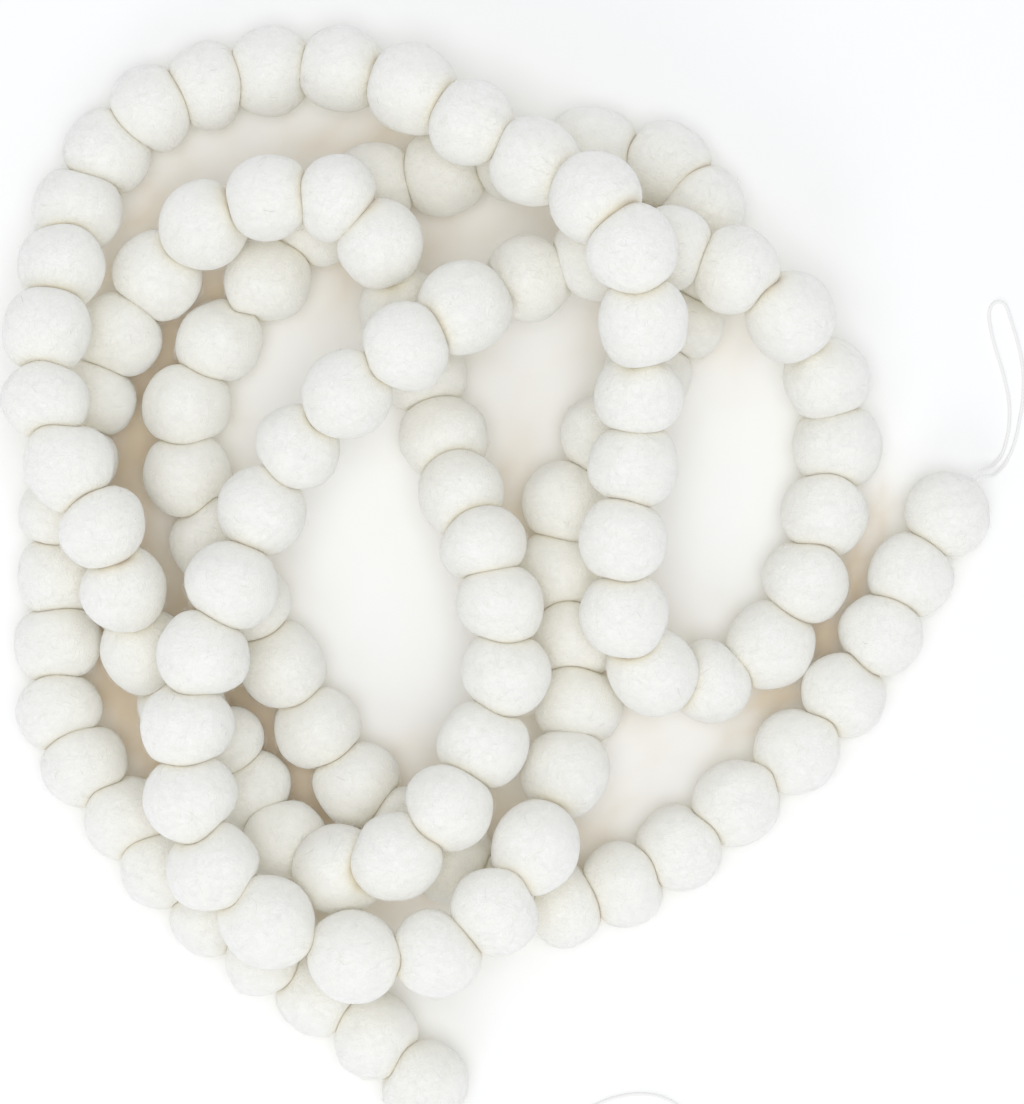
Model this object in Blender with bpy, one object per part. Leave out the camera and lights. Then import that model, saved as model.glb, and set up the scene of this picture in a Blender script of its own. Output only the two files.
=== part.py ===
"""Felt ball garland: one long string of pressed wool balls, let down in a loose heap of loops.

The string is built in runs of three balls that are pressed together face to face. Each end of the
string has a loop of thin thread for hanging it up. Metres, +Z up, origin under the heap's middle.
"""
import math
from collections import namedtuple

import bmesh
import bpy
import numpy as np

# The string
BALLS_IN_RUN = 3
BALL_COUNT = 122
BALL_SPACING = 0.0196        # pressed balls lie closer than they are wide
RUN_GAP = 0.0004             # between the pressed faces of two runs
REST_SHARE = 0.94            # a ball's middle above the floor, as a share of half its width

# The outline of one ball, along the string: 0 is its middle and 0.5 is the pressed face
BALL_REACH = 0.606           # where the outline would close, in ball spacings
BALL_FULLNESS = 2.4          # 2 is an ellipse, more is boxier
SHOULDER = 0.22              # place of the rings beside the middle one, in ball spacings
DOME_RINGS = (0.5, 0.575, 0.601)   # the free end of the string is rounded
RING_SIDES = 12
SIDE_SPREAD = 1.0175         # gives a ring of flat sides the area of the round one

# The thread
THREAD_WIDTH = 0.001
THREAD_STEP = 0.0022
THREAD_SIDES_SETTING = 2

MM = 0.001

# Where the middle ball of each run lies, which way the string heads there and how wide its balls are
Section = namedtuple("Section", "x_mm y_mm heading_deg across_mm")
SECTIONS = [
    Section(-36, -131, 140, 25.0),
    Section(-83, -96, 140, 25.0),
    Section(-119, -54, 130, 25.0),
    Section(-126, 0, 90, 25.0),
    Section(-117, 51, 70, 25.0),
    Section(-84, 99, 35, 25.0),
    Section(-34, 93, 290, 25.0),
    Section(-17, 40, 285, 25.0),
    Section(0, -8, 285, 25.0),
    Section(-15, -65, 235, 25.5),
    Section(-62, -75, 135, 25.0),
    Section(-92, -35, 140, 25.0),
    Section(-112, 14, 120, 25.0),
    Section(-127, 69, 80, 25.0),
    Section(-113, 121, 55, 25.0),
    Section(-65, 144.8, 10, 25.5),
    Section(-8, 127, 320, 25.0),
    Section(36, 89, 285, 25.5),
    Section(37, 31, 265, 25.0),
    Section(43, -27, 320, 25.0),
    Section(87, -1, 75, 25.0),
    Section(92, 56, 115, 25.5),
    Section(47, 92, 175, 25.0),
    Section(-10, 75, 215, 25.5),
    Section(-57, 36, 235, 25.0),
    Section(-83, -22, 245, 27.0),
    Section(-80, -81, 295, 26.5),
    Section(-18, -105, 20, 25.5),
    Section(18, -56, 70, 25.0),
    Section(17, 2, 105, 25.0),
    Section(42, 58, 55, 25.0),
    Section(58, 105, 100, 25.0),
    Section(3, 119, 195, 25.0),
    Section(-53, 101, 230, 25.0),
    Section(-90, 48, 255, 25.0),
    Section(-72, -8, 300, 25.0),
    Section(-41, -60, 310, 25.0),
    Section(2, -90, 330, 25.0),
    Section(51, -77, 35, 25.0),
    Section(98, -34, 55, 25.0),
    Section(127.4, 18, 55, 24.5),
]

# Where the string climbs over itself, in ball numbers, and how far it rises there
Climb = namedtuple("Climb", "start top_from top_to end rise_mm")
CLIMBS = [
    Climb(15.3, 18.6, 19.7, 21.7, 25.0),
    Climb(22.2, 25.4, 30.2, 32.6, 16.5),
    Climb(27.6, 29.5, 30.2, 31.4, 9.5),
    Climb(35.1, 38.0, 40.2, 44.2, 25.4),
    Climb(47.0, 50.7, 55.4, 60.6, 25.0),
    Climb(50.4, 52.8, 53.2, 55.6, 23.0),
    Climb(55.5, 58.0, 58.4, 60.4, 8.5),
    Climb(64.4, 66.8, 68.2, 70.4, 24.8),
    Climb(69.0, 71.8, 72.4, 75.4, 34.0),
    Climb(72.6, 76.0, 84.4, 86.8, 27.5),
]

# The two thread loops, in mm: out of the string's end, down to the floor, round and back
START_LOOP = [
    (-13.3, -154.6, 11.7), (-12.4, -155.9, 11.6), (-11.3, -157.2, 10.6), (-9.7, -158.6, 7.7), (-7.6, -159.9, 3.9),
    (-4.6, -161.0, 1.2), (-0.6, -161.8, 0.6), (5.0, -161.6, 0.6), (12.0, -159.4, 0.6), (22.0, -155.2, 0.6),
    (31.0, -151.2, 0.6), (39.0, -149.6, 0.6), (46.5, -150.6, 0.6), (52.5, -154.4, 0.6), (55.0, -160.0, 0.6),
    (52.4, -165.6, 0.6), (45.0, -168.6, 0.6), (34.0, -169.2, 0.6), (22.0, -168.0, 0.6), (11.0, -166.0, 0.6),
    (3.0, -164.4, 0.6), (-2.0, -163.7, 0.6), (-5.7, -162.7, 1.2), (-8.8, -161.4, 3.9), (-11.0, -159.9, 7.7),
    (-12.6, -158.2, 10.6), (-13.6, -156.6, 11.6), (-14.4, -155.4, 11.7),
]
END_LOOP = [
    (134.7, 28.1, 11.5), (135.7, 29.1, 11.4), (137.3, 30.3, 10.4), (139.4, 31.1, 7.4), (141.6, 32.1, 3.7),
    (143.8, 34.2, 1.2), (145.4, 37.6, 0.6), (146.5, 43.0, 0.6), (146.6, 50.0, 0.6), (145.0, 58.0, 0.6),
    (142.8, 65.2, 0.6), (141.3, 71.2, 0.6), (140.8, 75.4, 0.6), (141.3, 77.7, 0.6), (142.7, 79.1, 0.6),
    (144.4, 79.1, 0.6), (145.8, 77.8, 0.6), (146.6, 75.5, 0.6), (147.8, 71.8, 0.6), (149.4, 66.2, 0.6),
    (150.6, 59.4, 0.6), (150.6, 52.0, 0.6), (149.6, 45.0, 0.6), (148.2, 38.6, 0.6), (146.2, 33.8, 0.8),
    (143.9, 31.0, 2.5), (141.6, 29.4, 5.9), (139.7, 28.9, 9.0), (138.2, 28.7, 10.9), (137.0, 28.1, 11.6),
    (135.7, 27.1, 11.5),
]

FELT = {"colour": (0.86, 0.85, 0.80, 1.0), "roughness": 0.95}
THREAD = {"colour": (0.90, 0.90, 0.88, 1.0), "roughness": 0.7}


def clear_scene():
    for item in list(bpy.data.objects):
        bpy.data.objects.remove(item, do_unlink=True)


def material(name, look):
    made = bpy.data.materials.new(name)
    made.use_nodes = True
    shader = made.node_tree.nodes["Principled BSDF"]
    shader.inputs["Base Color"].default_value = look["colour"]
    shader.inputs["Roughness"].default_value = look["roughness"]
    shader.inputs["Metallic"].default_value = 0.0
    return made


def ease(share):
    """0 to 1 with a level start and end."""
    share = min(max(share, 0.0), 1.0)
    return share * share * (3.0 - 2.0 * share)


def middle_ball(run):
    """Ball number of a run's middle ball; runs count from 0 and balls from 1."""
    return BALLS_IN_RUN * run + 2


def ball_width(ball):
    """Width of a ball, read between the sections on either side of it."""
    rows = [middle_ball(run) for run in range(len(SECTIONS))]
    return float(np.interp(ball, rows, [section.across_mm for section in SECTIONS])) * MM


def rise(ball):
    """How far the string is lifted at a ball by all its climbs."""
    total = 0.0
    for climb in CLIMBS:
        up = ease((ball - climb.start) / (climb.top_from - climb.start))
        down = ease((climb.end - ball) / (climb.end - climb.top_to))
        total += climb.rise_mm * MM * up * down
    return total


def string_point(ball):
    """The string's middle line at a ball number: a smooth curve through the sections."""
    run = min(max(int((ball - middle_ball(0)) // BALLS_IN_RUN), 0), len(SECTIONS) - 2)
    share = (ball - middle_ball(run)) / BALLS_IN_RUN
    near, far = SECTIONS[run], SECTIONS[run + 1]
    plan = []
    for place, turn in (("x_mm", math.cos), ("y_mm", math.sin)):
        leave = BALLS_IN_RUN * BALL_SPACING * turn(math.radians(near.heading_deg))
        reach = BALLS_IN_RUN * BALL_SPACING * turn(math.radians(far.heading_deg))
        start, end = getattr(near, place) * MM, getattr(far, place) * MM
        plan.append((2 * share**3 - 3 * share**2 + 1) * start + (share**3 - 2 * share**2 + share) * leave
                    + (3 * share**2 - 2 * share**3) * end + (share**3 - share**2) * reach)
    height = REST_SHARE * ball_width(ball) / 2 + rise(ball)
    return np.array([plan[0], plan[1], height])


def string_direction(ball):
    step = 0.02
    ahead = string_point(ball + step) - string_point(ball - step)
    return ahead / np.linalg.norm(ahead)


def outline_share(place):
    """Half-width of a ball's outline at a place along the string, as a share of the widest."""
    return (1.0 - (abs(place) / BALL_REACH) ** BALL_FULLNESS) ** (1.0 / BALL_FULLNESS)


def add_ring(shape, centre, direction, radius):
    """One ring of points square to the string, with a level side underneath and none below the floor."""
    side = np.cross(direction, (0.0, 0.0, 1.0))
    side /= np.linalg.norm(side)
    up = np.cross(side, direction)
    ring = []
    for step in range(RING_SIDES):
        angle = 2 * math.pi * (step + 0.5) / RING_SIDES
        point = centre + radius * SIDE_SPREAD * (math.sin(angle) * side + math.cos(angle) * up)
        ring.append(shape.verts.new((point[0], point[1], max(point[2], 0.0))))
    return ring


def ring_stations(first, last):
    """Ring places of a run, as (ball number, along, shift): from the near end of the run to its far end."""
    stations = []
    if first == 1:
        stations += [(first, -place, 0.0) for place in reversed(DOME_RINGS[1:])] + [(first, -0.5, 0.0)]
    else:
        stations.append((first, -0.5, RUN_GAP / 2))
    for ball in range(first, last + 1):
        stations += [(ball, -SHOULDER, 0.0), (ball, 0.0, 0.0), (ball, SHOULDER, 0.0)]
        if ball < last:
            stations.append((ball, 0.5, 0.0))
    if last == BALL_COUNT:
        stations += [(last, place, 0.0) for place in DOME_RINGS]
    else:
        stations.append((last, 0.5, -RUN_GAP / 2))
    return stations


def add_run(number, finish):
    """A run of balls pressed together, as one closed solid."""
    first = BALLS_IN_RUN * number + 1
    last = min(first + BALLS_IN_RUN - 1, BALL_COUNT)
    shape = bmesh.new()
    rings = []
    for ball, along, shift in ring_stations(first, last):
        direction = string_direction(ball + along)
        centre = string_point(ball + along) + shift * direction
        rings.append(add_ring(shape, centre, direction, outline_share(along) * ball_width(ball + along) / 2))
    for near, far in zip(rings, rings[1:]):
        for step in range(RING_SIDES):
            after = (step + 1) % RING_SIDES
            shape.faces.new((near[step], near[after], far[after], far[step]))
    shape.faces.new(rings[0])
    shape.faces.new(rings[-1])
    bmesh.ops.recalc_face_normals(shape, faces=shape.faces[:])
    mesh = bpy.data.meshes.new(f"ball_run_{number + 1:02d}")
    shape.to_mesh(mesh)
    shape.free()
    mesh.shade_smooth()
    mesh.set_sharp_from_angle(angle=math.radians(60))
    mesh.materials.append(finish)
    piece = bpy.data.objects.new(mesh.name, mesh)
    bpy.context.collection.objects.link(piece)


def smooth_route(points_mm, step):
    """Points at an even step along a smooth curve through the route's own points."""
    points = np.array(points_mm) * MM
    padded = np.vstack([2 * points[0] - points[1], points, 2 * points[-1] - points[-2]])
    share = np.linspace(0, 1, 25)[:-1, None]
    fine = []
    for before, near, far, after in zip(padded, padded[1:], padded[2:], padded[3:]):
        fine.append(0.5 * (2 * near + (far - before) * share + (2 * before - 5 * near + 4 * far - after) * share**2
                           + (3 * near - before - 3 * far + after) * share**3))
    fine = np.vstack(fine + [points[-1:]])
    along = np.concatenate([[0.0], np.cumsum(np.linalg.norm(np.diff(fine, axis=0), axis=1))])
    wanted = np.linspace(0.0, along[-1], round(along[-1] / step) + 1)
    return np.column_stack([np.interp(wanted, along, fine[:, axis]) for axis in range(3)])


def add_thread(name, route_mm, finish):
    """A thread loop, as a plain tube along its route."""
    places = smooth_route(route_mm, THREAD_STEP)
    curve = bpy.data.curves.new(name, "CURVE")
    curve.dimensions = "3D"
    curve.bevel_depth = THREAD_WIDTH / 2
    curve.bevel_resolution = THREAD_SIDES_SETTING
    curve.use_fill_caps = True
    spline = curve.splines.new("POLY")
    spline.points.add(len(places) - 1)
    for point, place in zip(spline.points, places):
        point.co = (*place, 1.0)
    curve.materials.append(finish)
    bpy.context.collection.objects.link(bpy.data.objects.new(name, curve))


clear_scene()
felt = material("wool_felt", FELT)
thread = material("cotton_thread", THREAD)
for run_number in range(len(SECTIONS)):
    add_run(run_number, felt)
add_thread("thread_loop_start", START_LOOP, thread)
add_thread("thread_loop_end", END_LOOP, thread)
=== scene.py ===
import math

import bpy
import numpy as np
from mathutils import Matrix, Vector


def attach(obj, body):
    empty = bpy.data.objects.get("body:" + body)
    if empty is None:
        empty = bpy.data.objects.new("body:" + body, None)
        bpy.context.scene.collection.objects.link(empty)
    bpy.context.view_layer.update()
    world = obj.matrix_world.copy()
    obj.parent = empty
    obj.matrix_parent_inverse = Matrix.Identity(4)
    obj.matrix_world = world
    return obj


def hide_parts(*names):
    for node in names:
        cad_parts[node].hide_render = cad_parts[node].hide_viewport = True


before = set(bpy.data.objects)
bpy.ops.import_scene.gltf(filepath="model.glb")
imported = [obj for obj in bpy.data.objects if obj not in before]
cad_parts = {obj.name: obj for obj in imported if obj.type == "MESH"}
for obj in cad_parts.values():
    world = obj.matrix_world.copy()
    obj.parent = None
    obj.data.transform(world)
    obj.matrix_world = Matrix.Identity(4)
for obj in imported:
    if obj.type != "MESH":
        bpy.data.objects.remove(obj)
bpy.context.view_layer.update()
print("frame: loaded")

mm = 0.001

# the string of balls, as in the part's source; lengths in metres
garland = {
    "balls": 122, "ballsInRun": 3, "spacing": 0.0196, "restShare": 0.94,
    "reach": 0.606,         # where a ball's outline would close, in spacings
    "fullness": 2.4,        # 2 is an ellipse, more is boxier
}

# where the middle ball of each run lies: x mm, y mm, heading in degrees, width mm
sections = np.array([
    (-36, -131, 140, 25.0), (-83, -96, 140, 25.0), (-119, -54, 130, 25.0), (-126, 0, 90, 25.0),
    (-117, 51, 70, 25.0), (-84, 99, 35, 25.0), (-34, 93, 290, 25.0), (-17, 40, 285, 25.0),
    (0, -8, 285, 25.0), (-15, -65, 235, 25.5), (-62, -75, 135, 25.0), (-92, -35, 140, 25.0),
    (-112, 14, 120, 25.0), (-127, 69, 80, 25.0), (-113, 121, 55, 25.0), (-65, 144.8, 10, 25.5),
    (-8, 127, 320, 25.0), (36, 89, 285, 25.5), (37, 31, 265, 25.0), (43, -27, 320, 25.0),
    (87, -1, 75, 25.0), (92, 56, 115, 25.5), (47, 92, 175, 25.0), (-10, 75, 215, 25.5),
    (-57, 36, 235, 25.0), (-83, -22, 245, 27.0), (-80, -81, 295, 26.5), (-18, -105, 20, 25.5),
    (18, -56, 70, 25.0), (17, 2, 105, 25.0), (42, 58, 55, 25.0), (58, 105, 100, 25.0),
    (3, 119, 195, 25.0), (-53, 101, 230, 25.0), (-90, 48, 255, 25.0), (-72, -8, 300, 25.0),
    (-41, -60, 310, 25.0), (2, -90, 330, 25.0), (51, -77, 35, 25.0), (98, -34, 55, 25.0),
    (127.4, 18, 55, 24.5),
])

# where the string climbs over itself: start, top from, top to, end in ball numbers, and the rise in mm
climbs = [
    (15.3, 18.6, 19.7, 21.7, 25.0), (22.2, 25.4, 30.2, 32.6, 16.5), (27.6, 29.5, 30.2, 31.4, 9.5),
    (35.1, 38.0, 40.2, 44.2, 25.4), (47.0, 50.7, 55.4, 60.6, 25.0), (50.4, 52.8, 53.2, 55.6, 23.0),
    (55.5, 58.0, 58.4, 60.4, 8.5), (64.4, 66.8, 68.2, 70.4, 24.8), (69.0, 71.8, 72.4, 75.4, 34.0),
    (72.6, 76.0, 84.4, 86.8, 27.5),
]

# the two thread loops, in metres: out of the string's end, down to the floor, round and back
startLoop = [
    (-0.0133, -0.1546, 0.0117), (-0.0124, -0.1559, 0.0116), (-0.0113, -0.1572, 0.0106),
    (-0.0097, -0.1586, 0.0077), (-0.0076, -0.1599, 0.0039), (-0.0046, -0.1610, 0.0012),
    (-0.0006, -0.1618, 0.0006), (0.0050, -0.1616, 0.0006), (0.0120, -0.1594, 0.0006),
    (0.0220, -0.1552, 0.0006), (0.0310, -0.1512, 0.0006), (0.0390, -0.1496, 0.0006),
    (0.0465, -0.1506, 0.0006), (0.0525, -0.1544, 0.0006), (0.0550, -0.1600, 0.0006),
    (0.0524, -0.1656, 0.0006), (0.0450, -0.1686, 0.0006), (0.0340, -0.1692, 0.0006),
    (0.0220, -0.1680, 0.0006), (0.0110, -0.1660, 0.0006), (0.0030, -0.1644, 0.0006),
    (-0.0020, -0.1637, 0.0006), (-0.0057, -0.1627, 0.0012), (-0.0088, -0.1614, 0.0039),
    (-0.0110, -0.1599, 0.0077), (-0.0126, -0.1582, 0.0106), (-0.0136, -0.1566, 0.0116),
    (-0.0144, -0.1554, 0.0117),
]
endLoop = [
    (0.1347, 0.0281, 0.0115), (0.1357, 0.0291, 0.0114), (0.1373, 0.0303, 0.0104), (0.1394, 0.0311, 0.0074),
    (0.1416, 0.0321, 0.0037), (0.1438, 0.0342, 0.0012), (0.1454, 0.0376, 0.0006), (0.1465, 0.0430, 0.0006),
    (0.1466, 0.0500, 0.0006), (0.1450, 0.0580, 0.0006), (0.1428, 0.0652, 0.0006), (0.1413, 0.0712, 0.0006),
    (0.1408, 0.0754, 0.0006), (0.1413, 0.0777, 0.0006), (0.1427, 0.0791, 0.0006), (0.1444, 0.0791, 0.0006),
    (0.1458, 0.0778, 0.0006), (0.1466, 0.0755, 0.0006), (0.1478, 0.0718, 0.0006), (0.1494, 0.0662, 0.0006),
    (0.1506, 0.0594, 0.0006), (0.1506, 0.0520, 0.0006), (0.1496, 0.0450, 0.0006), (0.1482, 0.0386, 0.0006),
    (0.1462, 0.0338, 0.0008), (0.1439, 0.0310, 0.0025), (0.1416, 0.0294, 0.0059), (0.1397, 0.0289, 0.0090),
    (0.1382, 0.0287, 0.0109), (0.1370, 0.0281, 0.0116), (0.1357, 0.0271, 0.0115),
]


class Sock:
    # a shader socket: sums, products and powers of sockets and numbers add Math nodes
    def __init__(self, tree, out=None):
        self.tree, self.out = tree, out

    def node(self, kind, settings=None, sockets=None, output=0):
        made = self.tree.nodes.new(kind)
        for name, value in (settings or {}).items():
            setattr(made, name, value)
        for name, value in (sockets or {}).items():
            if isinstance(value, Sock):
                self.tree.links.new(value.out, made.inputs[name])
            else:
                made.inputs[name].default_value = value
        return Sock(self.tree, made.outputs[output] if len(made.outputs) else None)

    def maths(self, operation, first, second):
        return self.node("ShaderNodeMath", {"operation": operation}, {0: first, 1: second})

    def __add__(self, other): return self.maths("ADD", self, other)
    def __sub__(self, other): return self.maths("SUBTRACT", self, other)
    def __rsub__(self, other): return self.maths("SUBTRACT", other, self)
    def __mul__(self, other): return self.maths("MULTIPLY", self, other)
    def __pow__(self, other): return self.maths("POWER", self, other)
    __radd__ = __add__
    __rmul__ = __mul__

    def noise(self, coords, size, detail, distortion=0.0, output="Fac"):
        # size is the width of one patch, in metres
        return self.node("ShaderNodeTexNoise", None, {
            "Vector": coords, "Scale": 1 / size, "Detail": detail,
            "Roughness": 0.55, "Distortion": distortion,
        }, output)

    def attribute(self, name):
        return self.node("ShaderNodeAttribute", {"attribute_name": name}, output="Fac")

    def bump(self, strength, depth, height):
        return self.node("ShaderNodeBump", None, {"Strength": strength, "Distance": depth, "Height": height})

    def mix(self, share, first, second):
        return self.node("ShaderNodeMix", {"data_type": "RGBA"}, {0: share, 6: first, 7: second}, 2)

    def spread(self, low, high):
        # low..high of this socket becomes 0..1, held there outside
        limits = {"Value": self, "From Min": low, "From Max": high}
        return self.node("ShaderNodeMapRange", {"clamp": True}, limits)


def newMaterial(name, constants):
    made = bpy.data.materials.new(name)
    made.use_nodes = True
    shader = made.node_tree.nodes["Principled BSDF"]
    for socket, value in constants.items():
        shader.inputs[socket].default_value = value
    return made, Sock(made.node_tree), shader


def connect(material, shader, links):
    for socket, value in links.items():
        material.node_tree.links.new(value.out, shader.inputs[socket])


feltLook = {
    "light": (0.946, 0.946, 0.908, 1), "cream": (0.930, 0.922, 0.862, 1), "shade": (0.885, 0.876, 0.792, 1),
    # halo, crease and under are painted shade: a warm band beside each crease, the shadow in the crease, and
    # warm shade where other balls and the floor close the felt in
    "creaseHaloShade": (0.82, 0.755, 0.50, 1), "paintedCreaseShadow": (0.38, 0.24, 0.06, 1), "under": (0.80, 0.72, 0.47, 1),
    # widths of the patches, in metres; stain is the patch of the noise that varies the painted crease shadow
    "patch": 0.010, "creaseShadowPatch": 0.007, "swirl": 0.0020, "hair": 0.00075, "grain": 0.0004,
    "long": 0.16,                          # a hair patch is 1 / long times as long as it is wide
    "lead": 0.007, "leadReach": 0.020,     # how slowly the hairs turn, and how far they are led
    # which part of each noise runs from 0 to 1
    "patchRange": (0.36, 0.64), "hairRange": (0.36, 0.58),
    "grainRange": (0.25, 0.5), "creaseShadowPatchRange": (0.35, 0.65),
    # creaseHaloShadeShare and creaseLeast set how strong the painted crease shade is
    "creamShare": 0.65, "creaseHaloShadeShare": 0.75, "creaseLeast": 0.35,
    "roughLeast": 0.88, "roughSpread": 0.10,
    "swirlHeight": 0.50, "hairHeight": 1.1, "grainHeight": 0.20, "bump": 0.7, "bumpDepth": 0.0007,
}


def feltMaterial(look):
    made, start, shader = newMaterial("woolFelt", {
        "Roughness": 0.95, "Sheen Weight": 0.75, "Sheen Roughness": 0.6, "Specular IOR Level": 0.15,
    })
    coords = start.node("ShaderNodeTexCoord", output="Object")
    # press carries the painted crease shade; shelter carries painted shade where other balls and the floor
    # close the felt in
    press = start.attribute("press")           # 1 in the crease between two balls
    paintedShadeMask = start.attribute("paintedShadeShare")     # 1 where other balls and the floor close it in
    patch = start.noise(coords, look["patch"], 3).spread(*look["patchRange"])
    # hairs: long thin patches that lie two ways, led round in swirls by a slower noise
    lead = start.noise(coords, look["lead"], 2, output="Color")
    led = start.node("ShaderNodeVectorMath", {"operation": "MULTIPLY_ADD"},
                     {0: lead, 1: (look["leadReach"],) * 3, 2: coords})
    lain = [start.node("ShaderNodeVectorMath", {"operation": "MULTIPLY"}, {0: led, 1: way})
            for way in ((1.0, look["long"], 1.0), (look["long"], 1.0, 1.0))]
    swirl = start.noise(coords, look["swirl"], 3, 1.2)
    hair = (start.noise(lain[0], look["hair"], 3, 0.3) * 0.5
            + start.noise(lain[1], look["hair"], 3, 0.3) * 0.5)
    grain = start.noise(coords, look["grain"], 2)
    tone = start.mix(patch * look["creamShare"], look["light"], look["cream"])
    tone = start.mix(hair.spread(*look["hairRange"]), look["shade"], tone)
    tone = start.mix(1 - grain.spread(*look["grainRange"]), tone, look["shade"])
    # painted shade: a warmer, darker tone where other balls and the floor close the felt in
    tone = start.mix(paintedShadeMask, tone, look["under"])
    # painted shade: a wide pale halo beside each crease, and painted shadow in the crease itself, darker in
    # some places than in others
    tone = start.mix((press ** 0.8) * look["creaseHaloShadeShare"], tone, look["creaseHaloShade"])
    creaseShadowPatch = start.noise(coords, look["creaseShadowPatch"], 1).spread(*look["creaseShadowPatchRange"])
    least = look["creaseLeast"]
    tone = start.mix((press ** 3) * (creaseShadowPatch * (1 - least) + least), tone, look["paintedCreaseShadow"])
    height = swirl * look["swirlHeight"] + hair * look["hairHeight"] + grain * look["grainHeight"]
    bump = start.bump(look["bump"], look["bumpDepth"], height)
    rough = hair * look["roughSpread"] + look["roughLeast"]
    connect(made, shader, {"Base Color": tone, "Roughness": rough, "Normal": bump})
    return made


hairLook = {
    "light": (0.92, 0.91, 0.87, 1), "cream": (0.86, 0.83, 0.77, 1), "dark": (0.22, 0.15, 0.09, 1),
    "patch": 0.004,
}


def hairMaterial(look):
    made, start, shader = newMaterial("strayWool", {"Roughness": 0.8, "Specular IOR Level": 0.2})
    coords = start.node("ShaderNodeTexCoord", output="Object")
    dark = start.attribute("press")            # above 0 on a few darker hairs
    tone = start.mix(start.noise(coords, look["patch"], 2), look["light"], look["cream"])
    tone = start.mix(dark, tone, look["dark"])
    connect(made, shader, {"Base Color": tone})
    return made


threadLook = {
    # groove is painted shade between the plies; ply is the thread's own colour on them
    "groove": (0.76, 0.75, 0.72, 1), "ply": (0.93, 0.925, 0.905, 1), "fluff": (0.84, 0.83, 0.80, 1),
    "fluffSize": 0.0004, "fluffShare": 0.4, "roughLeast": 0.6, "roughSpread": 0.2,
    "bump": 0.5, "bumpDepth": 0.0001,
}


def threadMaterial(look):
    made, start, shader = newMaterial("cottonThread", {"Roughness": 0.7, "Sheen Weight": 0.15})
    coords = start.node("ShaderNodeTexCoord", output="Object")
    outOfGrooveShade = start.attribute("outOfGrooveShade")               # 0 between plies, 1 on them
    fluff = start.noise(coords, look["fluffSize"], 3)
    # painted shade: darker in the grooves between the plies
    tone = start.mix(outOfGrooveShade.spread(0.0, 0.8), look["groove"], look["ply"])
    tone = start.mix(fluff * look["fluffShare"], tone, look["fluff"])
    bump = start.bump(look["bump"], look["bumpDepth"], fluff)
    rough = fluff * look["roughSpread"] + look["roughLeast"]
    connect(made, shader, {"Base Color": tone, "Roughness": rough, "Normal": bump})
    return made


def newMesh(name, points, faces, materials, values=None, kinds=None):
    mesh = bpy.data.meshes.new(name)
    mesh.from_pydata(points.tolist(), [], faces)
    mesh.polygons.foreach_set("use_smooth", np.ones(len(faces), bool))
    for material in materials:
        mesh.materials.append(material)
    if kinds is not None:
        mesh.polygons.foreach_set("material_index", kinds)
    for attribute, numbers in (values or {}).items():
        mesh.attributes.new(attribute, "FLOAT", "POINT").data.foreach_set("value", numbers.astype(np.float32))
    mesh.update()
    made = bpy.data.objects.new(name, mesh)
    bpy.context.collection.objects.link(made)
    return made


def unit(vectors):
    return vectors / np.linalg.norm(vectors, axis=-1, keepdims=True)


# the camera, straight above the heap
view = {"x": 0.003, "y": 0.007, "height": 1.10, "halfTall": 0.1577, "ballMiddle": 0.0125}
camera = bpy.data.cameras.new("camera")
camera.angle = 2 * math.atan(view["halfTall"] / (view["height"] - view["ballMiddle"]))
cameraObject = bpy.data.objects.new("camera", camera)
cameraObject.location = (view["x"], view["y"], view["height"])
bpy.context.collection.objects.link(cameraObject)
bpy.context.scene.camera = cameraObject
print("camera: ready")


# the thread loops
threadMake = {"width": 0.001, "step": 0.00035, "sides": 18, "plies": 3, "turn": 0.0031, "groove": 0.16}


def smoothRoute(points, step):
    # a curve through the points: each stretch is the cubic that leaves and meets its two points
    # in the direction from the point before to the point after
    points = np.array(points)
    padded = np.vstack([2 * points[0] - points[1], points, 2 * points[-1] - points[-2]])
    share = np.linspace(0, 1, 25)[:-1, None]
    fine = [0.5 * (2 * near + (far - before) * share + (2 * before - 5 * near + 4 * far - after) * share**2
                   + (3 * near - before - 3 * far + after) * share**3)
            for before, near, far, after in zip(padded, padded[1:], padded[2:], padded[3:])]
    fine = np.vstack(fine + [points[-1:]])
    along = np.concatenate([[0.0], np.cumsum(np.linalg.norm(np.diff(fine, axis=0), axis=1))])
    wanted = np.linspace(0.0, along[-1], round(along[-1] / step) + 1)
    return np.column_stack([np.interp(wanted, along, fine[:, axis]) for axis in range(3)]), along[-1]


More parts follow.
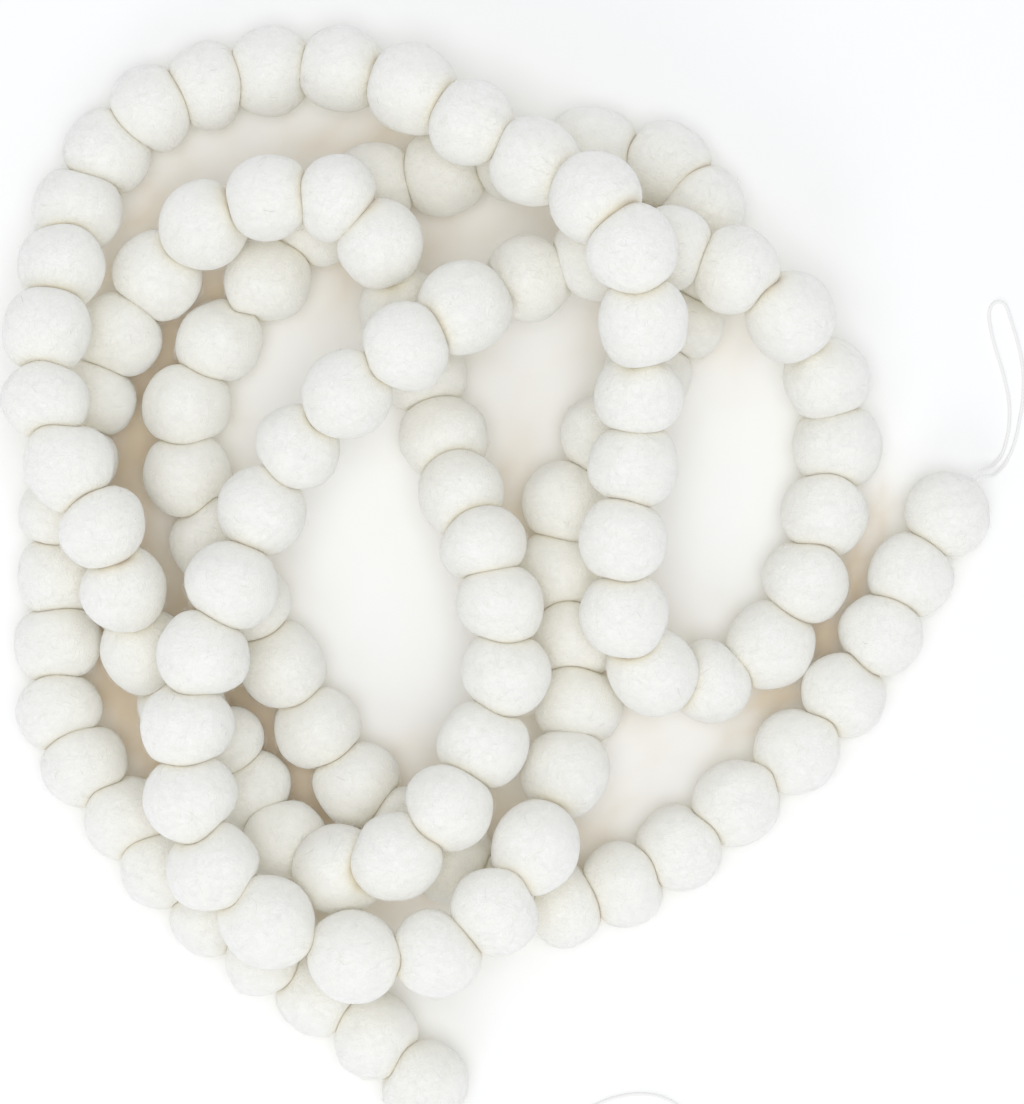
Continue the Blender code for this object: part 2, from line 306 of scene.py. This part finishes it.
def addThread(name, node, points, material):
    # around each place of the route: width/2 * (1 - groove * |sin(plies/2 * (angle - twist))|^4),
    # closed by a point at each end
    make = threadMake
    route, length = smoothRoute(points, make["step"])
    ahead = unit(np.gradient(route, axis=0))
    side = unit(np.cross(ahead, (0.0, 0.0, 1.0)))
    up = np.cross(side, ahead)
    angle = np.linspace(0, 2 * math.pi, make["sides"], endpoint=False)[None, :]
    twist = 2 * math.pi * np.linspace(0, length, len(route))[:, None] / make["turn"]
    groove = np.abs(np.sin(make["plies"] / 2 * (angle - twist)))
    # lay is 1 on the plies and 0 in the grooves, where the material paints shade
    outOfGrooveShade = 1 - groove ** 4
    radius = make["width"] / 2 * (1 - make["groove"] * groove ** 4)
    rings = route[:, None] + radius[..., None] * (np.cos(angle)[..., None] * side[:, None]
                                                  + np.sin(angle)[..., None] * up[:, None])
    count, sides = len(route), make["sides"]
    points = np.vstack([rings.reshape(-1, 3), route[:1], route[-1:]])
    ring = np.arange(count - 1)[:, None] * sides
    here, after = np.arange(sides)[None, :], (np.arange(sides)[None, :] + 1) % sides
    quads = np.stack([ring + here, ring + sides + here, ring + sides + after, ring + after], -1)
    quads = quads.reshape(-1, 4)
    here, after, last = here[0], after[0], (count - 1) * sides
    nearCap = np.stack([np.full(sides, count * sides), here, after], -1)
    farCap = np.stack([np.full(sides, count * sides + 1), last + after, last + here], -1)
    made = newMesh(name, points, quads.tolist() + nearCap.tolist() + farCap.tolist(), [material],
                   {"outOfGrooveShade": np.append(outOfGrooveShade.ravel(), [0, 0])})
    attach(made, "root")
    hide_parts(node)
    print(f"{name}: {length * 1000:.0f} mm")


thread = threadMaterial(threadLook)
addThread("threadLoopStart", "thread_loop_start", startLoop, thread)
addThread("threadLoopEnd", "thread_loop_end", endLoop, thread)


# the felt balls
ballMake = {
    "around": 56, "along": 25, "faceRings": (0.8, 0.45),
    "rim": 0.46,                   # radius of a pressed face, as a share of half the width
    "rimSpread": 0.15, "tilt": 0.13, "slip": 0.0006,   # how the pressed faces differ: size, turn and shift
    # a face's edge stands forward at top and bottom and back at the sides, or the other way round
    "arch": (0.0002, 0.0011), "archForward": 0.7, "archTurn": 0.5,
    # one face of a pair is hollow and the other full: dishShare * arch, and up to dish more or less
    "dishShare": 0.7, "dish": 0.00032,
    "widthSpread": 0.025, "fullness": (1.72, 2.02), "offset": 0.0005,
    "waves": 9, "waveHeight": 0.00007, "waveLength": (9, 22), "waveRadius": 12.5,     # the last two in mm
    # pressed and creaseWidth: how strong and how wide the painted crease shade is
    "pressed": (0.55, 1.0), "creaseWidth": 0.0006,     # how strongly and how far a crease is tinted
    "softness": 0.0008,            # rounding where a ball lies against the floor or another strand
    "touchWithin": 0.030,
    "hairs": 220,
}
random = np.random.default_rng(41)
total = garland["balls"]
numbers = np.arange(1, total + 1)


def ease(share):
    share = np.clip(share, 0, 1)
    return share * share * (3 - 2 * share)


def ballWidth(ball):
    return np.interp(ball, 3 * np.arange(len(sections)) + 2, sections[:, 3]) * mm


def stringPoint(ball):
    # cubic between the sections in plan; a ball's middle is restShare * width / 2 above the floor,
    # plus the climbs: rise * ease(share of the way up) * ease(share of the way down)
    ball = np.asarray(ball, float)
    run = np.clip((ball - 2) // 3, 0, len(sections) - 2).astype(int)
    share = ((ball - 3 * run - 2) / 3)[..., None]
    near, far = sections[run], sections[run + 1]
    pull = 3 * garland["spacing"]
    leave = pull * np.stack([np.cos(np.radians(near[..., 2])), np.sin(np.radians(near[..., 2]))], -1)
    reach = pull * np.stack([np.cos(np.radians(far[..., 2])), np.sin(np.radians(far[..., 2]))], -1)
    plan = ((2 * share**3 - 3 * share**2 + 1) * near[..., :2] * mm + (share**3 - 2 * share**2 + share) * leave
            + (3 * share**2 - 2 * share**3) * far[..., :2] * mm + (share**3 - share**2) * reach)
    height = garland["restShare"] * ballWidth(ball) / 2
    for start, topFrom, topTo, end, riseMm in climbs:
        up, down = ease((ball - start) / (topFrom - start)), ease((end - ball) / (end - topTo))
        height = height + riseMm * mm * up * down
    return np.concatenate([plan, height[..., None]], -1)


def stringDirection(ball):
    return unit(stringPoint(np.asarray(ball) + 0.02) - stringPoint(np.asarray(ball) - 0.02))


def crosswise(direction):
    # side and up of a string that runs along direction
    side = unit(np.cross(direction, (0.0, 0.0, 1.0)))
    return side, np.cross(side, direction)


def vary(low, high, *shape):
    return random.uniform(low, high, shape)


balls = {"axis": stringDirection(numbers), "middle": stringPoint(numbers)}
balls["side"], balls["up"] = crosswise(balls["axis"])
balls["half"] = ballWidth(numbers) / 2 * (1 + ballMake["widthSpread"] * vary(-1, 1, total))
balls["fullness"] = vary(*ballMake["fullness"], total)
offset = ballMake["offset"] * vary(-1, 1, total, 3)      # along the string and to its side; no third way
balls["middle"] = balls["middle"] + offset[:, :1] * balls["axis"] + offset[:, 1:2] * balls["side"]
balls["waves"] = unit(random.normal(size=(total, ballMake["waves"], 3))) * 2 * math.pi
balls["waves"] /= vary(*ballMake["waveLength"], total, ballMake["waves"], 1)      # radians a millimetre
balls["phases"] = vary(0, 2 * math.pi, total, ballMake["waves"])

# the pressed faces, each between a ball and the next one
between = numbers[:-1] + 0.5
straight = stringDirection(between)
faceSide, faceUp = crosswise(straight)
lean = ballMake["tilt"] * vary(-1, 1, total - 1, 2)
faces = {"normal": unit(straight + lean[:, :1] * faceSide + lean[:, 1:] * faceUp)}
faces["middle"] = stringPoint(between) + ballMake["slip"] * vary(-1, 1, total - 1, 1) * straight
faces["side"], faces["up"] = crosswise(faces["normal"])
# where the string climbs, its balls lie farther apart and press a smaller face. Both are worked out from the
# plain outline: (1 - (pitch / 2 / reach)^fullness)^(1 / fullness), at the real pitch and at the usual one
ballReach = garland["reach"] * garland["spacing"]
pitch = np.linalg.norm(np.diff(balls["middle"], axis=0), axis=1)
closed = np.minimum([pitch, np.full(total - 1, garland["spacing"])], 2 * ballReach * 0.98)
closed = (1 - (closed / 2 / ballReach) ** garland["fullness"]) ** (1 / garland["fullness"])
faces["radius"] = (ballMake["rim"] * (1 + ballMake["rimSpread"] * vary(-1, 1, total - 1))
                   * closed[0] / closed[1] * (balls["half"][1:] + balls["half"][:-1]) / 2)
faces["arch"] = vary(*ballMake["arch"], total - 1)
faces["arch"] *= np.where(vary(0, 1, total - 1) < ballMake["archForward"], 1, -1)
faces["archTurn"] = vary(-ballMake["archTurn"], ballMake["archTurn"], total - 1)
faces["dish"] = faces["arch"] * ballMake["dishShare"] + vary(-ballMake["dish"], ballMake["dish"], total - 1)
faces["press"] = vary(*ballMake["pressed"], total - 1)


def rimPoint(face, phi):
    # middle + radius * (sin phi * side + cos phi * up) + arch * cos(2 * (phi - turn)) along the normal
    arch = faces["arch"][face] * np.cos(2 * (phi - faces["archTurn"][face]))
    out = np.sin(phi)[..., None] * faces["side"][face] + np.cos(phi)[..., None] * faces["up"][face]
    return faces["middle"][face] + arch[..., None] * faces["normal"][face] + faces["radius"][face] * out


def reachTowards(index, way):
    # plain outline from the ball's middle: (|cos/long|^fullness + |sin/half|^fullness) ^ (-1/fullness)
    cosine = min(abs(float(way @ balls["axis"][index])), 1.0)
    fullness = balls["fullness"][index]
    sine = math.sqrt(1 - cosine ** 2)
    return ((cosine / ballReach) ** fullness + (sine / balls["half"][index]) ** fullness) ** (-1 / fullness)


def touching(index):
    # planes that press a ball from outside, as (outward normal, distance): other strands, and last the floor
    middle, found = balls["middle"][index], []
    away = np.linalg.norm(balls["middle"] - middle, axis=1)
    for other in np.flatnonzero((away < ballMake["touchWithin"]) & (np.abs(np.arange(total) - index) > 1)):
        way = (balls["middle"][other] - middle) / away[other]
        mine, theirs = reachTowards(index, way), reachTowards(other, -way)
        if mine + theirs > away[other]:
            found.append((way, away[other] * mine / (mine + theirs)))
    return found + [(np.array((0.0, 0.0, -1.0)), float(middle[2]))]


def ballSurface(index, planes, share, phi):
    # share runs from the back face's edge (-1) to the front face's (1). From the middle, out along the
    # string by |share| * rimDistance and away from it by
    # rim + (half - rim) * (1 - |share|^fullness)^(1/fullness), so that two balls' shoulders meet in a narrow
    # crease. Slow waves are added, and what passes a touching plane is pressed back.
    # the painted crease shade, press, falls from 1 at a face's edge by exp(-distance / creaseWidth).
    make = ballMake
    middle, axis, half, fullness = (balls[key][index] for key in ("middle", "axis", "half", "fullness"))
    out = np.sin(phi)[..., None] * balls["side"][index] + np.cos(phi)[..., None] * balls["up"][index]
    points = np.empty(share.shape + (3,))
    press = np.zeros(share.shape)
    for front in (True, False):
        part = share >= 0 if front else share < 0
        size, way, face = np.abs(share[part]), out[part], index if front else index - 1
        if 0 <= face < total - 1:
            toRim = rimPoint(face, phi[part]) - middle
            along = toRim @ axis
            across = toRim - along[:, None] * axis
            radius = np.linalg.norm(across, axis=-1)
            blend = (size ** 2)[:, None]
            way = unit((1 - blend) * way + blend * across / radius[:, None])
            press[part] = np.exp(-(1 - size) * np.abs(along) / make["creaseWidth"]) * faces["press"][face]
        else:
            along = np.full(size.shape, ballReach if front else -ballReach)
            radius = np.zeros(size.shape)
        wide = radius + (half - radius) * np.maximum(1 - size ** fullness, 0) ** (1 / fullness)
        points[part] = middle + (size * along)[:, None] * axis + wide[:, None] * way
    ways = unit(points - middle)
    wave = np.sin(ways @ (balls["waves"][index].T * make["waveRadius"]) + balls["phases"][index]).sum(-1)
    points += (make["waveHeight"] * wave * (1 - share ** 4))[..., None] * ways
    soft = make["softness"]
    for normal, distance in planes:
        past = (points - middle) @ normal - distance
        push = np.where(past > soft, past, np.maximum(past + soft, 0) ** 2 / (4 * soft))
        points -= push[..., None] * normal
    return points, press


# painted shade on the felt, from how far other balls and the floor close each place in
shade = {
    "within": 0.05, "floorWithin": 0.012, "balls": 1.3, "floor": 0.5,
    "top": 0.10, "edge": 0.25, "soft": 0.7,      # little of it on top, all of it below a ball's widest line
}


def paintedShadeShare(points, index):
    # how far other balls and the floor close a place in, where light has gone through wool before it comes
    # there; it sets the painted warm shade there: the sum of (cos + s) / (1 + s) * s^2 over the balls, with s
    # = half / distance
    middle = balls["middle"][index]
    away = np.linalg.norm(balls["middle"] - middle, axis=1)
    near = np.flatnonzero((away > 0) & (away < shade["within"]))
    ways = unit(points - middle)
    towards = balls["middle"][near] - points[..., None, :]
    away = np.linalg.norm(towards, axis=-1)
    size = np.minimum(balls["half"][near] / away, 1)
    cosine = (towards * ways[..., None, :]).sum(-1) / away
    hidden = (np.maximum(cosine + size, 0) / (1 + size) * size ** 2).sum(-1)
    ground = np.maximum(0.3 - ways[..., 2], 0) / 1.3 * np.exp(-points[..., 2] / shade["floorWithin"])
    closed = np.clip(shade["balls"] * hidden + shade["floor"] * ground, 0, 1)
    return closed * (shade["top"] + (1 - shade["top"]) * ease((shade["edge"] - ways[..., 2]) / shade["soft"]))


def ballGrid(index, planes):
    make = ballMake
    phi = np.linspace(0, 2 * math.pi, make["around"], endpoint=False)
    share = np.sin(np.linspace(-1, 1, make["along"]) * math.pi / 2)       # closer rings near the rims
    share, phi = (grid.ravel() for grid in np.meshgrid(share, phi, indexing="ij"))
    points, press = (part.reshape(make["along"], make["around"], -1)
                     for part in ballSurface(index, planes, share, phi))
    rings, tints, poles = [points], [np.dstack([press, paintedShadeShare(points, index)])], []
    for front in (False, True):
        face = index if front else index - 1
        rim = points[-1] if front else points[0]
        if 0 <= face < total - 1:
            # inside the edge: middle + share * (rim - middle) + dish * (1 - share^2) along the normal
            normal, pressed = faces["normal"][face] * faces["dish"][face], 1.0
        else:
            normal, pressed = np.zeros(3), 0.0
        centre = rim.mean(0)
        rings.append(np.array([centre + part * (rim - centre) + (1 - part ** 2) * normal
                               for part in make["faceRings"]]))
        tints.append(np.full((len(make["faceRings"]), make["around"], 2), (pressed, 1.0)))
        poles.append(np.append(centre + normal, (pressed, 1.0)))
    grid = np.concatenate([rings[1][::-1], rings[0], rings[2]])
    tints = np.concatenate([tints[1], tints[0], tints[2]])
    count, around = grid.shape[:2]
    ring = np.arange(count - 1)[:, None] * around
    here = np.arange(around)[None, :]
    after = (here + 1) % around
    quads = np.stack([ring + here, ring + around + here, ring + around + after, ring + after], -1)
    quads = quads.reshape(-1, 4)
    here, after, last = here[0], after[0], (count - 1) * around
    backFan = np.stack([np.full(around, count * around), here, after], -1)
    frontFan = np.stack([np.full(around, count * around + 1), last + after, last + here], -1)
    poles = np.array(poles)
    return (np.vstack([grid.reshape(-1, 3), poles[:, :3]]), np.vstack([tints.reshape(-1, 2), poles[:, 3:]]),
            quads.tolist() + backFan.tolist() + frontFan.tolist())


hairMake = {
    "long": (0.0012, 0.0050), "lift": 0.0013, "width": 0.00006, "thick": (0.9, 1.0, 0.8), "bend": 1.2,
    "sunk": 0.00003,      # how deep a hair's ends lie in the felt
    "free": (0.35, 1.0),       # 1 comes down again, less stays up at its end
    "dark": 0.012, "darkness": (0.3, 0.9),
}
hairPoints = 11       # two ends and three rings of three


def ballHairs(index, planes):
    # each hair follows the surface for a way and lifts off it: the surface point, plus
    # lift * sin(pi * free * share^0.8) outwards. It is a three-sided rod with a point at each end.
    count, stations = ballMake["hairs"], 5
    long = vary(*hairMake["long"], count, 1)
    heading = vary(0, 2 * math.pi, count, 1)
    bend = hairMake["bend"] * random.normal(size=(count, 1))
    lift = hairMake["lift"] * vary(0.05, 1.0, count, 1) ** 2
    free = vary(*hairMake["free"], count, 1)
    place = np.sin(vary(-1.1, 1.1, count, 1))
    phi = vary(0, 2 * math.pi, count, 1)
    share = np.linspace(0, 1, stations)[None, :]
    walk = long * (share - 0.5)
    turn = heading + bend * (share - 0.5)
    place = np.clip(place + walk * np.cos(turn) / (garland["spacing"] / 2), -0.93, 0.93)
    phi = phi + walk * np.sin(turn) / balls["half"][index]
    flat = [part.ravel() for part in (place, phi)]
    here = ballSurface(index, planes, *flat)[0]
    outward = np.cross(ballSurface(index, planes, flat[0], flat[1] + 0.02)[0] - here,
                       ballSurface(index, planes, flat[0] + 0.01, flat[1])[0] - here)
    here, outward = here.reshape(count, stations, 3), unit(outward).reshape(count, stations, 3)
    outward *= np.sign((outward * (here - balls["middle"][index])).sum(-1, keepdims=True))
    raised = lift * np.sin(math.pi * free * share ** 0.8) - hairMake["sunk"]
    line = here + raised[..., None] * outward
    line[..., 2] = np.maximum(line[..., 2], hairMake["width"])
    ahead = unit(np.gradient(line, axis=1))
    across = unit(np.cross(ahead, outward))
    rise = np.cross(across, ahead)
    corner = np.radians([90, 210, 330])
    thick = (hairMake["width"] / 2 * np.array(hairMake["thick"]))[None, :, None, None]
    rings = line[:, 1:4, None] + thick * (np.cos(corner)[:, None] * across[:, 1:4, None]
                                          + np.sin(corner)[:, None] * rise[:, 1:4, None])
    points = np.concatenate([line[:, :1], rings.reshape(count, 9, 3), line[:, 4:]], 1).reshape(-1, 3)
    tips = [(0, 1 + k, 1 + (k + 1) % 3) for k in range(3)] + [(10, 7 + (k + 1) % 3, 7 + k) for k in range(3)]
    sides = [(r + k, r + 3 + k, r + 3 + (k + 1) % 3, r + (k + 1) % 3) for r in (1, 4) for k in range(3)]
    base = (np.arange(count) * hairPoints)[:, None, None]
    tips, sides = base + np.array(tips), base + np.array(sides)
    return points, tips.reshape(-1, 3).tolist() + sides.reshape(-1, 4).tolist()


def addRun(number, materials):
    first = garland["ballsInRun"] * number
    parts, tints, corners, kinds, base = [], [], [], [], 0
    for index in range(first, min(first + garland["ballsInRun"], total)):
        planes = touching(index)
        points, tint, ballFaces = ballGrid(index, planes)
        hairs, hairFaces = ballHairs(index, planes)
        dark = vary(0, 1, ballMake["hairs"]) < hairMake["dark"]
        dark = dark * vary(*hairMake["darkness"], ballMake["hairs"])
        hairTint = np.repeat(dark, hairPoints)[:, None] * (1, 0)
        for some, value, someFaces, kind in ((points, tint, ballFaces, 0), (hairs, hairTint, hairFaces, 1)):
            parts.append(some)
            tints.append(value)
            corners += [[corner + base for corner in face] for face in someFaces]
            kinds += [kind] * len(someFaces)
            base += len(some)
    tints = np.vstack(tints)
    made = newMesh(f"feltRun{number + 1:02d}", np.vstack(parts), corners, materials,
                   {"press": tints[:, 0], "paintedShadeShare": tints[:, 1]}, kinds)
    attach(made, "root")
    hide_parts(f"ball_run_{number + 1:02d}")
    return len(corners)


materials = [feltMaterial(feltLook), hairMaterial(hairLook)]
made = [addRun(number, materials) for number in range(len(sections))]
print(f"felt balls: {len(made)} runs, {sum(made)} faces")


# floor, light and world
studio = {
    "floorHalf": 3.0, "fineHalf": 0.18, "fineLines": 145, "floorHeight": -0.0001,
    "aim": (0.0, 0.0, 0.02), "bounces": 7,       # pale wool lights its own gaps
    # floorGapShade is painted warm shade on the floor in the narrow gaps between strands
    "floor": (0.978, 0.982, 0.968, 1), "floorGapShade": (0.73, 0.595, 0.41, 1), "gapFrom": 0.035, "gapTo": 0.15,
    "light": (0.975, 0.99, 1.025), "worldStrength": 0.60,
    "key": 5.3, "keySize": 1.0, "keyFrom": (-0.40, -1.45, 1.30),
    "fill": 14.0, "fillSize": 1.2, "fillFrom": (0.0, -0.15, 1.9), "gamma": 1.38,
}


def addLight(name, power, size, place):
    light = bpy.data.lights.new(name, "AREA")
    light.shape, light.size, light.energy, light.color = "DISK", size, power, studio["light"]
    lamp = bpy.data.objects.new(name, light)
    lamp.location = place
    way = np.array(studio["aim"]) - np.array(place)
    lamp.rotation_mode = "QUATERNION"
    lamp.rotation_quaternion = Vector(way).to_track_quat("-Z", "Y")
    bpy.context.collection.objects.link(lamp)


def addFloor():
    # a flat grid, finer under the heap, with an attribute for how narrow the gap over each point is, which
    # paints warm shade on the floor in the narrow gaps: cos * (half / distance)^4, summed over all balls but
    # the two nearest
    material, start, shader = newMaterial("paleFloor", {"Roughness": 0.9, "Specular IOR Level": 0.1})
    # painted shade: the floor turns tan where the gap over it is narrow
    tone = start.mix(start.attribute("closed"), studio["floor"], studio["floorGapShade"])
    connect(material, shader, {"Base Color": tone})
    far, fine = studio["floorHalf"], studio["fineHalf"]
    lines = np.concatenate([[-far], np.linspace(-fine, fine, studio["fineLines"]), [far]])
    across, up = (grid.ravel() for grid in np.meshgrid(lines, lines))
    corners = np.column_stack([across, up, np.full(across.shape, studio["floorHeight"])])
    towards = balls["middle"] - corners[:, None]
    away = np.maximum(np.linalg.norm(towards, axis=-1), balls["half"])
    closed = np.sort(towards[..., 2] / away * (balls["half"] / away) ** 4)[:, :-2].sum(-1)
    closed = ease((closed - studio["gapFrom"]) / (studio["gapTo"] - studio["gapFrom"]))
    count = len(lines)
    first = (np.arange(count - 1)[:, None] * count + np.arange(count - 1)[None, :]).ravel()
    quads = np.column_stack([first, first + 1, first + count + 1, first + count])
    newMesh("floor", corners, quads.tolist(), [material], {"closed": closed})


addFloor()
addLight("key", studio["key"], studio["keySize"], studio["keyFrom"])
addLight("fill", studio["fill"], studio["fillSize"], studio["fillFrom"])
world = bpy.data.worlds.new("studio")
world.use_nodes = True
background = world.node_tree.nodes["Background"].inputs
background["Color"].default_value = (*studio["light"], 1)
background["Strength"].default_value = studio["worldStrength"]
scene = bpy.context.scene
scene.world = world
scene.view_settings.view_transform = "Standard"
scene.view_settings.gamma = studio["gamma"]
scene.cycles.max_bounces = scene.cycles.diffuse_bounces = studio["bounces"]
print("studio: ready")
